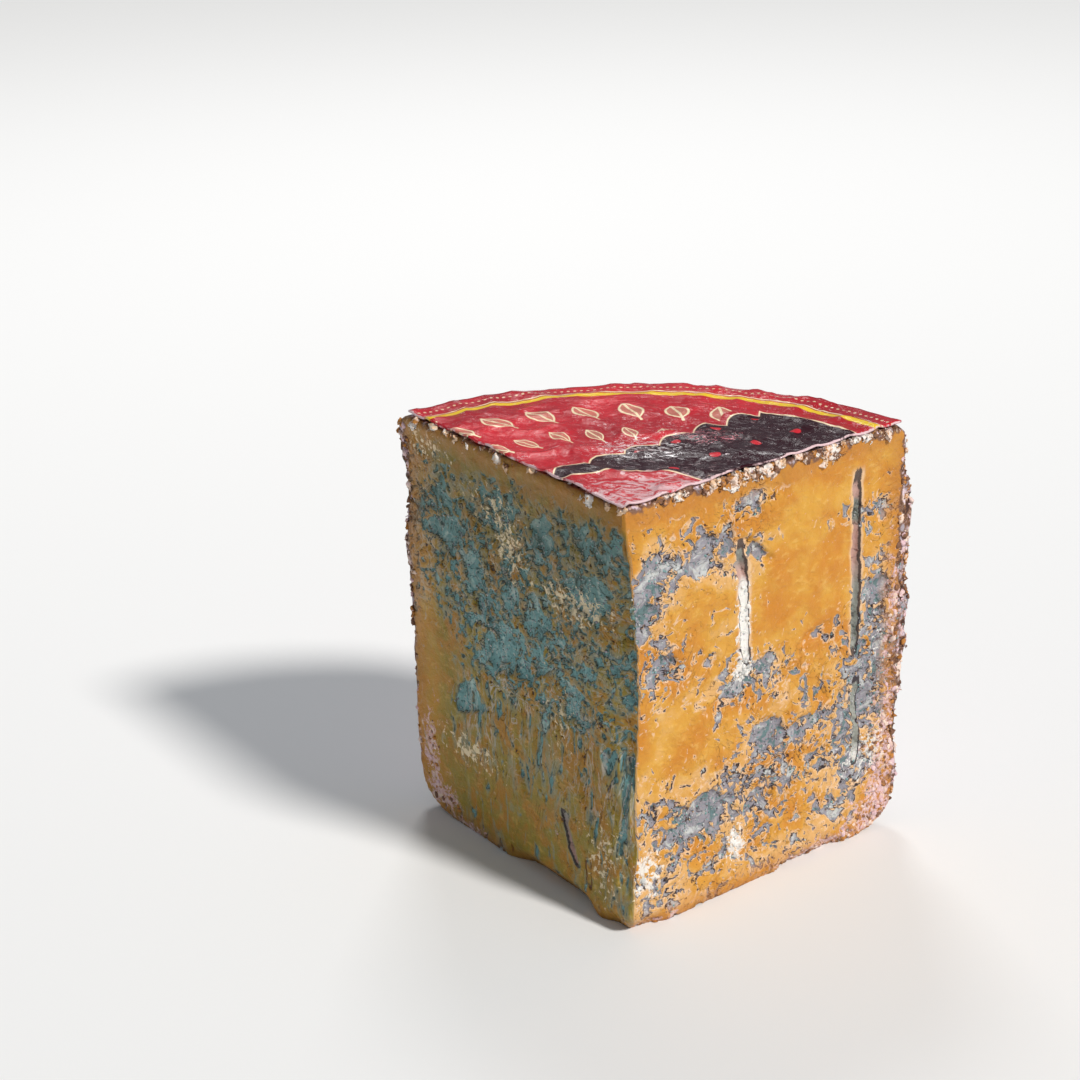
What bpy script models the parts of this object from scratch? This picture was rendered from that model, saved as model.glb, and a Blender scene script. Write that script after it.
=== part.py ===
"""A quarter wedge cut from a tall wheel of blue cheese, with the wheel's printed face label cut with it.

The wedge stands on the wheel's lower face. Its tip, on the wheel's axis, points to -Y, the rind closes
it at the back, and the two knife cuts face -X and +X of the tip. Metres, +Z up.
"""

import math

import bmesh
import bpy
from mathutils import Matrix, Vector, noise

# Driving dimensions
WHEEL_RADIUS = 0.105
WHEEL_HEIGHT = 0.1296
WEDGE_TURN = math.radians(90)
LOWER_RIM_ROUND = 0.015
UPPER_RIM_ROUND = 0.0035
LABEL_RADIUS = 0.1022
LABEL_SHIFT = Vector((0.0010, -0.0006, 0))
LABEL_THICKNESS = 0.0006
LABEL_GAP = 0.0004

# The origin is the middle of the base, so the wheel's axis and the wedge's tip lie in front of it
ORIGIN_BEHIND_TIP = 0.0530

# Relief of the paste and the rind
CUT_WAVE = 0.0010
CUT_WAVE_SIZE = 0.030
CRUMB_DEPTH = 0.0007
CRUMB_SIZE = 0.007
RIND_WAVE = 0.0014
RIND_WAVE_SIZE = 0.034
RIND_KNOB = 0.0016
RIND_KNOB_SIZE = 0.008
LABEL_CRINKLE = 0.0009
CRINKLE_SIZE = 0.016

# How far the outlines of holes and hollows wander from their plain shapes, and over what length
RAGGED_EDGE = 0.0016
RAGGED_SIZE = 0.004
HOLE_WANDER = 0.25

# Mesh sizes, and the height below which a point is set down on the base
VOXEL = 0.0011
BASE_FLAT = 0.0004
CHEESE_TRIANGLES = 9600
LABEL_STEP = 0.0042
ARC_STEPS = 36

# Places on a cut are (side, distance from the tip, height): side -1 is the left cut and +1 the right one.
# A hole is a place at its upper end, its lower end's height, its lean, half its width and its depth.
NEEDLE_HOLES = (
    (1, 0.0860, 0.1200, 0.0600, 0.0000, 0.0013, 0.0050),
    (1, 0.0415, 0.1120, 0.0700, 0.0020, 0.0012, 0.0060),
    (1, 0.0868, 0.0560, 0.0240, 0.0010, 0.0010, 0.0020),
    (-1, 0.0290, 0.0300, 0.0120, -0.0060, 0.0009, 0.0040),
)
# A hollow where mould has opened the paste: place, half its length, half its height, lean in turns, depth
MOULD_HOLLOWS = (
    (1, 0.0300, 0.1085, 0.0090, 0.0055, -0.08, 0.0018),
    (1, 0.0460, 0.1060, 0.0070, 0.0022, 0.10, 0.0017),
    (1, 0.0120, 0.1080, 0.0060, 0.0022, -0.06, 0.0012),
    (1, 0.0060, 0.0960, 0.0045, 0.0050, 0.00, 0.0014),
    (1, 0.0140, 0.0780, 0.0055, 0.0045, -0.08, 0.0014),
    (1, 0.0300, 0.0770, 0.0030, 0.0016, -0.05, 0.0012),
    (1, 0.0420, 0.0665, 0.0130, 0.0022, -0.07, 0.0018),
    (1, 0.0270, 0.0300, 0.0110, 0.0052, -0.05, 0.0020),
    (1, 0.0500, 0.0270, 0.0070, 0.0038, -0.10, 0.0020),
    (1, 0.0520, 0.0470, 0.0060, 0.0055, 0.10, 0.0018),
    (1, 0.0660, 0.0450, 0.0050, 0.0030, 0.00, 0.0014),
    (1, 0.0700, 0.0740, 0.0060, 0.0016, -0.07, 0.0012),
    (1, 0.0940, 0.0780, 0.0060, 0.0060, 0.00, 0.0018),
    (1, 0.0980, 0.0560, 0.0045, 0.0080, 0.00, 0.0020),
    (1, 0.0900, 0.0430, 0.0070, 0.0055, 0.05, 0.0020),
    (1, 0.0980, 0.1045, 0.0045, 0.0022, -0.08, 0.0014),
    (1, 0.0300, 0.0120, 0.0075, 0.0022, -0.05, 0.0014),
    (-1, 0.0860, 0.1010, 0.0070, 0.0110, 0.02, 0.0016),
    (-1, 0.0620, 0.1060, 0.0060, 0.0050, 0.00, 0.0012),
    (-1, 0.0360, 0.1120, 0.0055, 0.0048, 0.10, 0.0014),
    (-1, 0.0170, 0.1000, 0.0110, 0.0060, 0.04, 0.0015),
    (-1, 0.0680, 0.0870, 0.0040, 0.0120, 0.06, 0.0014),
    (-1, 0.0500, 0.0700, 0.0160, 0.0075, 0.02, 0.0017),
    (-1, 0.0240, 0.0640, 0.0080, 0.0060, 0.00, 0.0014),
    (-1, 0.0760, 0.0470, 0.0080, 0.0050, 0.05, 0.0013),
    (-1, 0.0480, 0.0340, 0.0035, 0.0080, 0.03, 0.0012),
    (-1, 0.0170, 0.0380, 0.0030, 0.0100, 0.04, 0.0012),
)
# Where the crust stands proud of the rim or has broken away: side of the nearest cut, height, half its
# height, reach from that cut along the rim, and how far it stands out
RIM_LUMPS = (
    (1, 0.0860, 0.0330, 0.030, 0.0034),
    (1, 0.0520, 0.0130, 0.020, 0.0022),
    (1, 0.0330, 0.0060, 0.016, -0.0016),
    (-1, 0.1210, 0.0085, 0.018, 0.0024),
    (-1, 0.1050, 0.0050, 0.014, -0.0020),
    (-1, 0.0880, 0.0090, 0.022, 0.0012),
    (-1, 0.0400, 0.0100, 0.020, -0.0012),
)
# Lower edges that have crumbled off the board: side, distance from the tip, half length, height, depth
CRUMBLED_EDGES = (
    (-1, 0.0370, 0.0230, 0.0070, 0.0042),
    (-1, 0.0000, 0.0140, 0.0065, 0.0024),
    (1, 0.0000, 0.0150, 0.0060, 0.0030),
    (1, 0.0700, 0.0150, 0.0045, 0.0022),
)
# How far inside the cut the base is drawn in with such an edge
CRUMBLE_REACH = 0.0120
# The tip's edge is worn: height, and how far the edge has moved along the right cut there
TIP_WEAR = (
    (0.0000, 0.0000), (0.0120, 0.0012), (0.0280, 0.0030), (0.0420, 0.0026), (0.0560, 0.0040),
    (0.0720, 0.0044), (0.0860, 0.0038), (0.0960, 0.0044), (0.1050, 0.0022), (0.1160, 0.0016),
    (0.1240, 0.0004), (0.1320, 0.0000),
)
# The slant of the worn face, as its length along the left cut over that along the right one
WEAR_SLANT = 3.5

# Colours in linear RGB
PASTE_COLOUR = (0.66, 0.36, 0.08, 1.0)
LABEL_COLOUR = (0.52, 0.03, 0.05, 1.0)

HALF_TURN = WEDGE_TURN / 2
TIP = Vector((0, -ORIGIN_BEHIND_TIP, 0))


def smooth_step(low, high, value):
    """0 below low, 1 above high, and an S curve between them."""
    share = min(1.0, max(0.0, (value - low) / (high - low)))
    return share * share * (3 - 2 * share)


def plain_material(name, colour, roughness):
    material = bpy.data.materials.new(name)
    material.use_nodes = True
    shader = material.node_tree.nodes["Principled BSDF"]
    shader.inputs["Base Color"].default_value = colour
    shader.inputs["Roughness"].default_value = roughness
    shader.inputs["Metallic"].default_value = 0.0
    return material


def cut_direction(side):
    """Along the left (-1) or right (+1) cut, away from the tip."""
    return Vector((side * math.sin(HALF_TURN), math.cos(HALF_TURN), 0))


def cut_normal(side):
    """Out of the left or right cut."""
    return Vector((side * math.cos(HALF_TURN), -math.sin(HALF_TURN), 0))


def hollow_depth(side, along, height):
    """How deep the needle holes and the mould hollows are at a place on a cut."""
    ragged = noise.noise(Vector((along, height, side)) / RAGGED_SIZE)
    ragged_reach = RAGGED_EDGE / RAGGED_SIZE * ragged
    depth = 0.0
    for hole_side, start, top, bottom, lean, half_width, hole_depth in NEEDLE_HOLES:
        if hole_side != side:
            continue
        down = (top - height) / (top - bottom)
        middle = start + lean * down + HOLE_WANDER * RAGGED_EDGE * ragged
        taper = smooth_step(0.0, 0.25, down) * smooth_step(1.0, 0.85, down)
        across = abs(along - middle) / half_width
        depth = max(depth, hole_depth * taper * smooth_step(1.5, 0.6, across))
    for hollow_side, middle, level, half_length, half_height, lean, hollow in MOULD_HOLLOWS:
        if hollow_side != side:
            continue
        turn = Matrix.Rotation(2 * math.pi * lean, 2)
        offset = turn @ Vector((along - middle, height - level))
        reach = math.hypot(offset.x / half_length, offset.y / half_height) + ragged_reach
        depth = max(depth, hollow * smooth_step(1.25, 0.75, reach))
    return depth


def crumbled(side, along, height):
    """How far a crumbled lower edge has lost its paste."""
    lost = 0.0
    for edge_side, middle, half_length, tall, deep in CRUMBLED_EDGES:
        if edge_side == side:
            length_share = smooth_step(1.0, 0.5, abs(along - middle) / half_length)
            lost = max(lost, deep * length_share * smooth_step(tall, 0.0, height))
    return lost


def worn_tip(point):
    """How the worn edge at the tip moves a point beside it."""
    width = 0.0
    for (low, first), (high, second) in zip(TIP_WEAR, TIP_WEAR[1:]):
        if low <= point.z <= high:
            width = first + (second - first) * (point.z - low) / (high - low)
    if width < 1e-6:
        return Vector((0, 0, 0))
    right, left = cut_direction(1), cut_direction(-1)
    share = 1 - (point - TIP).dot(right) / width - (point - TIP).dot(left) / (WEAR_SLANT * width)
    inward = (WEAR_SLANT * right + left).normalized()
    return inward * max(0.0, share) * width * WEAR_SLANT / math.hypot(1, WEAR_SLANT)


def rim_lump(angle, height):
    """How far the crust stands out at an angle from the middle of the rind."""
    out = 0.0
    for side, level, half_height, reach, amount in RIM_LUMPS:
        from_cut = (HALF_TURN - side * angle) * WHEEL_RADIUS
        if from_cut < reach:
            along_share = smooth_step(reach, 0.3 * reach, from_cut)
            out += amount * along_share * smooth_step(1.0, 0.55, abs(height - level) / half_height)
    return out


def cut_relief(point, side):
    """Signed height of the paste over the knife's plane."""
    along = (point - TIP).dot(cut_direction(side))
    wave = CUT_WAVE * noise.noise(point / CUT_WAVE_SIZE + Vector((side, 3.1, 0.7)))
    crumb = CRUMB_DEPTH * noise.fractal(point / CRUMB_SIZE, 0.9, 2.1, 3)
    return wave + crumb - hollow_depth(side, along, point.z)


def rind_relief(point):
    """Signed height of the crust over the wheel's round side."""
    from_axis = point - TIP
    angle = math.atan2(from_axis.x, from_axis.y)
    wave = RIND_WAVE * noise.noise(point / RIND_WAVE_SIZE + Vector((5.2, 1.7, 0.2)))
    knobs = noise.voronoi(point / RIND_KNOB_SIZE)[0][0]
    knob = RIND_KNOB * (0.45 - knobs)
    crumb = 0.5 * CRUMB_DEPTH * noise.fractal(point / CRUMB_SIZE, 0.9, 2.1, 3)
    return wave + knob + crumb + rim_lump(angle, point.z)


def relief(point, normal):
    """Where a point of the plain block lies on the real cheese."""
    base = smooth_step(-0.75, -0.97, normal.z)
    top = smooth_step(0.75, 0.97, normal.z)
    upright = max(0.0, 1.0 - base - top)
    moved = point.copy()
    for side in (-1, 1):
        facing = smooth_step(0.25, 0.85, normal.dot(cut_normal(side)))
        moved += cut_normal(side) * cut_relief(point, side) * facing * upright
        from_tip = point - TIP
        near = smooth_step(CRUMBLE_REACH, 0.0, -from_tip.dot(cut_normal(side)))
        moved -= cut_normal(side) * near * crumbled(side, from_tip.dot(cut_direction(side)), point.z)
    moved += worn_tip(point)
    outward = Vector((point.x, point.y + ORIGIN_BEHIND_TIP, 0))
    if outward.length > 0.5 * WHEEL_RADIUS:
        outward.normalize()
        facing = smooth_step(0.10, 0.60, normal.dot(outward))
        moved += outward * rind_relief(point) * facing * (1 - 0.7 * base)
    return moved


def block_profile():
    """The turned outline, from the axis out along the base, up the rim and back along the top."""
    points = [Vector((0, 0, 0))]
    corners = ((LOWER_RIM_ROUND, LOWER_RIM_ROUND, -90, 8),
               (UPPER_RIM_ROUND, WHEEL_HEIGHT - UPPER_RIM_ROUND, 0, 4))
    for round_radius, level, start, steps in corners:
        for step in range(steps + 1):
            turn = math.radians(start + 90 * step / steps)
            points.append(Vector((WHEEL_RADIUS - round_radius + round_radius * math.cos(turn), 0,
                                  level + round_radius * math.sin(turn))))
    points.append(Vector((0, 0, WHEEL_HEIGHT)))
    return points


def plain_block():
    """The quarter wheel as a knife would leave it: a face spun about the wheel's axis."""
    shape = bmesh.new()
    profile = shape.faces.new([shape.verts.new(point) for point in block_profile()])
    start = math.pi / 2 - HALF_TURN
    bmesh.ops.rotate(shape, verts=shape.verts, cent=(0, 0, 0), matrix=Matrix.Rotation(start, 3, "Z"))
    bmesh.ops.spin(shape, geom=[profile, *profile.edges, *profile.verts], cent=(0, 0, 0),
                   axis=(0, 0, 1), angle=WEDGE_TURN, steps=ARC_STEPS, use_duplicate=False)
    bmesh.ops.remove_doubles(shape, verts=shape.verts, dist=1e-6)
    bmesh.ops.translate(shape, verts=shape.verts, vec=TIP)
    bmesh.ops.recalc_face_normals(shape, faces=shape.faces)
    mesh = bpy.data.meshes.new("plain_block")
    shape.to_mesh(mesh)
    shape.free()
    return mesh


def evaluated_mesh(obj):
    """The object's mesh with its modifiers applied."""
    graph = bpy.context.evaluated_depsgraph_get()
    return bpy.data.meshes.new_from_object(obj.evaluated_get(graph))


def make_cheese(collection):
    """The paste and its rind, one solid: an even skin over the plain block, moved by the relief."""
    cheese = bpy.data.objects.new("cheese", plain_block())
    collection.objects.link(cheese)
    skin = cheese.modifiers.new("even_skin", "REMESH")
    skin.mode = "VOXEL"
    skin.voxel_size = VOXEL
    cheese.data = evaluated_mesh(cheese)
    cheese.modifiers.clear()

    normals = [vertex.normal.copy() for vertex in cheese.data.vertices]
    for vertex, normal in zip(cheese.data.vertices, normals):
        vertex.co = relief(vertex.co, normal)

    fewer = cheese.modifiers.new("fewer_faces", "DECIMATE")
    fewer.ratio = CHEESE_TRIANGLES / (2 * len(cheese.data.polygons))
    cheese.data = evaluated_mesh(cheese)
    cheese.modifiers.clear()
    for vertex in cheese.data.vertices:
        if vertex.co.z < BASE_FLAT:
            vertex.co.z = 0.0
    cheese.data.shade_smooth()
    cheese.data.materials.clear()
    cheese.data.materials.append(plain_material("paste", PASTE_COLOUR, 0.55))
    return cheese


def crinkle(point):
    """How far the label's film has lifted in folds."""
    fold = abs(noise.noise(point / CRINKLE_SIZE + Vector((0.4, 7.7, 0))))
    return LABEL_CRINKLE * (1 - min(1.0, 2.5 * fold)) ** 2


def label_outline_point(point):
    """Draws the label's edge in with the waves of the cuts, so that it ends over the paste."""
    moved = point.copy()
    for side in (-1, 1):
        from_cut = -(point - TIP).dot(cut_normal(side))
        share = smooth_step(0.008, 0.0, from_cut)
        wave = CUT_WAVE * noise.noise(point / CUT_WAVE_SIZE + Vector((side, 3.1, 0.7)))
        moved += cut_normal(side) * share * (wave - 0.0004)
    return moved


def make_label(collection):
    """The printed film on the wheel's upper face, cut with the wedge."""
    shape = bmesh.new()
    count = math.ceil(2 * LABEL_RADIUS / LABEL_STEP)
    bmesh.ops.create_grid(shape, x_segments=count, y_segments=count, size=LABEL_RADIUS * 1.02)
    bmesh.ops.translate(shape, verts=shape.verts, vec=TIP + LABEL_SHIFT)
    for side in (-1, 1):
        bmesh.ops.bisect_plane(shape, geom=[*shape.verts, *shape.edges, *shape.faces],
                               plane_co=TIP, plane_no=cut_normal(side), clear_outer=True)
    label_centre = TIP + LABEL_SHIFT
    for step in range(ARC_STEPS + 1):
        turn = (step / ARC_STEPS - 0.5) * (WEDGE_TURN + math.radians(4))
        outward = Vector((math.sin(turn), math.cos(turn), 0))
        bmesh.ops.bisect_plane(shape, geom=[*shape.verts, *shape.edges, *shape.faces],
                               plane_co=label_centre + LABEL_RADIUS * outward, plane_no=outward,
                               clear_outer=True)
    bmesh.ops.remove_doubles(shape, verts=shape.verts, dist=0.0004)
    for vertex in shape.verts:
        vertex.co = label_outline_point(vertex.co)
        vertex.co.z = WHEEL_HEIGHT + LABEL_GAP + crinkle(vertex.co)
    mesh = bpy.data.meshes.new("label")
    shape.to_mesh(mesh)
    shape.free()

    label = bpy.data.objects.new("label", mesh)
    collection.objects.link(label)
    film = label.modifiers.new("film", "SOLIDIFY")
    film.thickness = LABEL_THICKNESS
    film.offset = 1.0
    label.data.shade_smooth()
    label.data.materials.append(plain_material("label_print", LABEL_COLOUR, 0.30))
    return label


def build():
    for obj in list(bpy.data.objects):
        bpy.data.objects.remove(obj)
    wedge = bpy.data.collections.new("blue_cheese_wedge")
    bpy.context.scene.collection.children.link(wedge)
    make_cheese(wedge)
    make_label(wedge)


build()
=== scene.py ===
"""Looks of a quarter wedge of blue cheese: its paste, mould, crust and printed film.

The paste and the rind are one fine skin over the same block and relief as the solid. Node groups grow
the mould once for the relief and once for the colours, so pockets and their blue floors fall together.
Metres, +Z up. The wedge stands on its base, its tip points to -Y and its rind closes it at the back.
"""

import math

import bmesh
import bpy
import numpy as np
from mathutils import Matrix, Vector, noise


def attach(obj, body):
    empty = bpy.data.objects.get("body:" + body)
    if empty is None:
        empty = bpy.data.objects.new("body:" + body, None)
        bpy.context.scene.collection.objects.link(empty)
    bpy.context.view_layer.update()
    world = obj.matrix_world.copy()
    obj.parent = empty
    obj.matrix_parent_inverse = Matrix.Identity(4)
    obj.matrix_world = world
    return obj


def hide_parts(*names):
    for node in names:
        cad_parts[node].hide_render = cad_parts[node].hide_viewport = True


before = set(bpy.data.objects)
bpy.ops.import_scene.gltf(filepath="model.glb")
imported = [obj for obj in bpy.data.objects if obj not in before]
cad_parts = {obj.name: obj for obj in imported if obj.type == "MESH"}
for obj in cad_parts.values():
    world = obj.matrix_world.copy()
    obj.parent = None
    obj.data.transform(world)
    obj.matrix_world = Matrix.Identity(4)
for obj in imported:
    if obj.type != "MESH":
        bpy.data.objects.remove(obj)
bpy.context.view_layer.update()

# The wheel that the wedge was cut from, and its printed film
WHEEL_RADIUS = 0.105
WHEEL_HEIGHT = 0.1296
WEDGE_TURN = math.radians(90)
HALF_TURN = WEDGE_TURN / 2
LOWER_RIM_ROUND = 0.015
UPPER_RIM_ROUND = 0.0035
LABEL_RADIUS = 0.1022
LABEL_SHIFT = Vector((0.001, -0.0006, 0))
LABEL_THICKNESS = 0.0006
LABEL_LIFT = 0.0004
ORIGIN_BEHIND_TIP = 0.053
TIP = Vector((0, -ORIGIN_BEHIND_TIP, 0))

# Relief of the paste, the rind and the film
CUT_WAVE = 0.001
CUT_WAVE_SIZE = 0.03
CRUMB_DEPTH = 0.0007
CRUMB_SIZE = 0.007
CRUMB_SHARE = 0.55
HOLLOW_SHARE = 0.6
HOLE_SHARE = 0.45
PLUG_SHARE = 0.8
CHIP_DEPTH = 0.0022
CHIP_SIZE = 0.009
CHIP_REACH = 0.006
RIND_WAVE = 0.0014
RIND_WAVE_SIZE = 0.034
RIND_KNOB = 0.0016
RIND_KNOB_SIZE = 0.008
LABEL_CRINKLE = 0.0009
CRINKLE_SIZE = 0.016
FINE_CRINKLE = 0.00022
FINE_CRINKLE_SIZE = 0.0052

# Meshes, and the height below which a point is set down on the base
VOXEL = 0.00144
BASE_FLAT = 0.0004
ARC_STEPS = 48
LABEL_ROWS = 100
LABEL_COLUMNS = 110


def in_metres(lengths, rows):
    """Rows that start with a side and then have so many lengths in millimetres, with these in metres."""
    return [(side, *(round(length / 1000, 7) for length in row[:lengths]), *row[lengths:])
            for side, *row in rows]


# Places on a cut are (side, distance from the tip, height): side -1 is the left cut and +1 the right one.
# A hole is a place at its upper end, its lower end's height, its lean, half its width and its depth.
NEEDLE_HOLES = in_metres(6, (
    (1, 86, 122.5, 60, 0, 1.3, 5), (1, 41.5, 112, 70, 2, 1.3, 6), (1, 86.8, 56, 24, 1, 1, 2),
    (-1, 29, 30, 12, -6, 0.9, 4),
))
# A hollow where mould has opened the paste: place, half its length, half its height, depth, lean in turns
MOULD_HOLLOWS = in_metres(5, (
    (1, 30, 108.5, 9, 5.5, 1.8, -0.08), (1, 46, 106, 7, 2.2, 1.7, 0.1),
    (1, 12, 108, 6, 2.2, 1.2, -0.06), (1, 6, 96, 4.5, 5, 1.4, 0), (1, 14, 78, 5.5, 4.5, 1.4, -0.08),
    (1, 30, 77, 3, 1.6, 1.2, -0.05), (1, 42, 66.5, 13, 2.2, 1.8, -0.07),
    (1, 27, 30, 11, 5.2, 2, -0.05), (1, 50, 27, 7, 3.8, 2, -0.1), (1, 52, 47, 6, 5.5, 1.8, 0.1),
    (1, 66, 45, 5, 3, 1.4, 0), (1, 70, 74, 6, 1.6, 1.2, -0.07), (1, 94, 78, 6, 6, 1.8, 0),
    (1, 98, 56, 4.5, 8, 2, 0), (1, 90, 43, 7, 5.5, 2, 0.05), (1, 98, 104.5, 4.5, 2.2, 1.4, -0.08),
    (1, 30, 12, 7.5, 2.2, 1.4, -0.05), (-1, 86, 101, 7, 11, 1.6, 0.02), (-1, 62, 106, 6, 5, 1.2, 0),
    (-1, 36, 112, 5.5, 4.8, 1.4, 0.1), (-1, 17, 100, 11, 6, 1.5, 0.04),
    (-1, 68, 87, 4, 12, 1.4, 0.06), (-1, 50, 70, 16, 7.5, 1.7, 0.02), (-1, 24, 64, 8, 6, 1.4, 0),
    (-1, 76, 47, 8, 5, 1.3, 0.05), (-1, 48, 34, 3.5, 8, 1.2, 0.03), (-1, 17, 38, 3, 10, 1.2, 0.04),
))
# Where the crust stands proud of the rim or has broken away: side of the nearest cut, height, half its
# height, reach from that cut along the rim, and how far it stands out
RIM_LUMPS = in_metres(4, (
    (1, 86, 33, 30, 3.4), (1, 52, 13, 20, 2.2), (1, 33, 6, 16, -1.6), (-1, 121, 8.5, 18, 2.4),
    (-1, 105, 5, 14, -2), (-1, 88, 9, 22, 1.2), (-1, 40, 10, 20, -1.2),
))
# Lower edges that have crumbled off the board: side, distance from the tip, half length, height, depth
CRUMBLED_EDGES = in_metres(4, (
    (-1, 37, 23, 7, 4.2), (-1, 0, 14, 6.5, 2.4), (1, 0, 15, 6, 3), (1, 70, 15, 4.5, 2.2),
))
# How far inside the cut the base is drawn in with such an edge
CRUMBLE_REACH = 0.012
# The tip's edge is worn: height, and how far the edge has moved along the right cut there
TIP_WEAR = (
    (0.0, 0.0), (0.012, 0.0012), (0.028, 0.003), (0.042, 0.0026), (0.056, 0.004),
    (0.072, 0.0044), (0.086, 0.0038), (0.096, 0.0044), (0.105, 0.0022), (0.116, 0.0016),
    (0.124, 0.0004), (0.132, 0.0),
)
# The slant of the worn face, as its length along the left cut over that along the right one
WEAR_SLANT = 3.5

# How thickly the mould grows: a level for each cut at its foot and at its top, then the places where it
# grows more or less, each a place, its half length and half height, and what it adds
MOULD_LEVELS = {1: (0.54, 0.24), -1: (0.52, 0.62)}
MOULD_PLACES = in_metres(4, (
    (1, 32, 110, 20, 8, 0.4), (1, 7, 105, 7, 16, 0.34), (1, 12, 79, 9, 9, 0.3),
    (1, 45, 68, 15, 6, 0.4), (1, 54, 40, 22, 14, 0.2), (1, 23, 28, 16, 8, 0.3),
    (1, 86, 107, 15, 3.5, 0.36), (1, 47, 121, 7, 3.5, 0.5), (1, 96, 88, 7, 16, 0.26),
    (1, 95, 58, 12, 24, 0.32), (1, 80, 56, 17, 17, 0.1), (1, 68, 98, 16, 20, -0.22),
    (1, 20, 56, 16, 15, -0.16), (1, 65, 78, 12, 10, -0.08), (-1, 94, 42, 8, 24, -0.5),
    (-1, 56, 72, 30, 24, 0.12), (-1, 82, 124, 16, 5, -0.2), (-1, 40, 129, 50, 6, -0.45),
    (-1, 50, 14, 40, 12, -0.2), (-1, 78, 64, 14, 12, -0.14), (-1, 38, 48, 14, 13, -0.12),
))
# Where the mould has turned white, in the same way
WHITE_PLACES = in_metres(4, (
    (1, 42.7, 86, 2.6, 13, 1), (1, 43, 70, 5, 2.8, 0.9), (1, 40, 15, 4, 6, 0.9),
    (1, 6, 18, 6, 8, 0.7), (1, 92, 28, 12, 8, 0.6), (1, 96, 64, 5, 14, 0.4),
    (-1, 60, 112, 11, 6, 0.45), (-1, 52, 102, 8, 7, 0.5), (-1, 22, 95, 15, 5, 0.7),
    (-1, 76, 29, 14, 5, 0.6), (-1, 30, 56, 8, 12, 0.4), (-1, 10, 20, 7, 14, 0.5),
    (-1, 93, 124, 11, 7, 0.55),
))
# Where the crust's pale bloom has spread over the edge of a cut, in the same way
BLOOM_PLACES = in_metres(4, (
    (1, 99, 26, 5.5, 16, 0.9), (1, 93, 7, 9, 6, 0.9), (1, 72, 1, 13, 3.5, 0.9),
    (1, 12, 0.5, 10, 2, 0.7), (1, 101.5, 70, 2.6, 24, 0.8), (-1, 97, 23, 4.5, 13, 0.9),
    (-1, 90, 7, 8, 4, 0.9), (-1, 76, 1, 9, 2, 0.8),
))

# Sizes in the growth of the mould
PATCH_SIZE = 0.0125
SPOT_SIZE = 0.0036
SMALL_SIZE = 0.0046
ISLAND_SIZE = 0.006
CRACK_SIZE = 0.0095
PIT_SIZE = 0.0023
TONE_SIZE = 0.006
WISP_SIZE = 0.011
STREAK = 0.32
STREAK_TOP = 0.055
BREAK_SIZE = 0.0045

# How much more mould, how many more pits and how much wider cracks a thicker growth gives
GROWTH_GAIN = 0.42
POCKET_GAIN = 0.12
PIT_GAIN = 0.34
CRACK_GAIN = 0.016

# Between which levels of growth each mask of the mould sets in
MOULD_STEPS = {"Fuzz": (0.49, 0.59), "Halo": (0.52, 0.578), "Soft": (0.57, 0.625),
               "Patch": (0.592, 0.606), "Deep": (0.65, 0.68)}

# The grain of the paste and the fine knobs of the crust, and the draw of the small lumps' colours
GRAIN_SIZE = 0.0026
FINE_KNOB_SIZE = 0.0036
TINT_SEED = 7

# How far the crust reaches into the cuts, under the film and in from the rim
TOP_CRUST = 0.003
CLUSTER_SIZE = 0.011
RIM_CRUST = 0.004

# The camera stands where the photograph's stood, worked out from the wedge's corners in it
CAMERA_FROM_TIP = Vector((0.5557, -4.9781, 3.1972)) * WHEEL_RADIUS
CAMERA_AZIMUTH = math.radians(8.755)
CAMERA_DOWN = math.radians(22.12)
CAMERA_ROLL = math.radians(-1.755)
FOCAL_SHARE = 2170.1 / 1080
SENSOR = 36

# Small lumps: the piece, its look and what its node tree is given, lengths in metres
STREW_INPUTS = ("where", "least", "per_area", "smallest", "largest", "flatness", "rough", "seed", "fineness")
STREWN = (
    ("crust_pearls", "pearls", "top_edge", 0.16, 1.3e6, 0.00035, 0.0016, 0.55, 2.8, 3, 3),
    ("rim_crumbs", "blooms", "rim_edge", 0.2, 0.3e6, 0.0003, 0.0013, 0.6, 2.6, 5, 2),
    ("bloom_crumbs", "blooms", "bloomed", 0.45, 0.8e6, 0.0002, 0.001, 0.5, 1.3, 8, 2),
    ("mould_tufts", "tufts", "patch", 0.6, 1.5e6, 0.00012, 0.00042, 0.8, 0.5, 11, 1),
    ("white_mould", "whites", "white", 0.62, 2.4e6, 0.0003, 0.0009, 0.8, 0.8, 13, 2),
)


def paint(red, green, blue):
    """A colour given as it shows on a screen, 0 to 255, in linear RGB."""
    shares = (red / 255, green / 255, blue / 255)
    linear = [s / 12.92 if s <= 0.04045 else ((s + 0.055) / 1.055) ** 2.4 for s in shares]
    return (*linear, 1.0)


# Colours
PASTE = paint(214, 160, 62)
PASTE_DEEP = paint(200, 130, 40)
PASTE_PALE = paint(236, 196, 112)
PASTE_PINK = paint(224, 180, 138)
# The olive colours of the left cut: its own olive tint darkened with painted shade; the dark one is painted
# shade alone, for the top of that cut
OLIVE_GOLD_SHADED = paint(166, 116, 20)
OLIVE_GREEN_SHADED = paint(138, 124, 34)
OLIVE_TOP_SHADE = paint(80, 68, 26)
OLIVE_MIST_SHADED = paint(134, 142, 116)
CREAM = paint(232, 196, 160)
PIT_BROWN = paint(120, 76, 50)
PIT_DARK = paint(58, 46, 52)
NEEDLE_BROWN = paint(200, 162, 150)
NEEDLE_GREY = paint(156, 158, 150)
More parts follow.
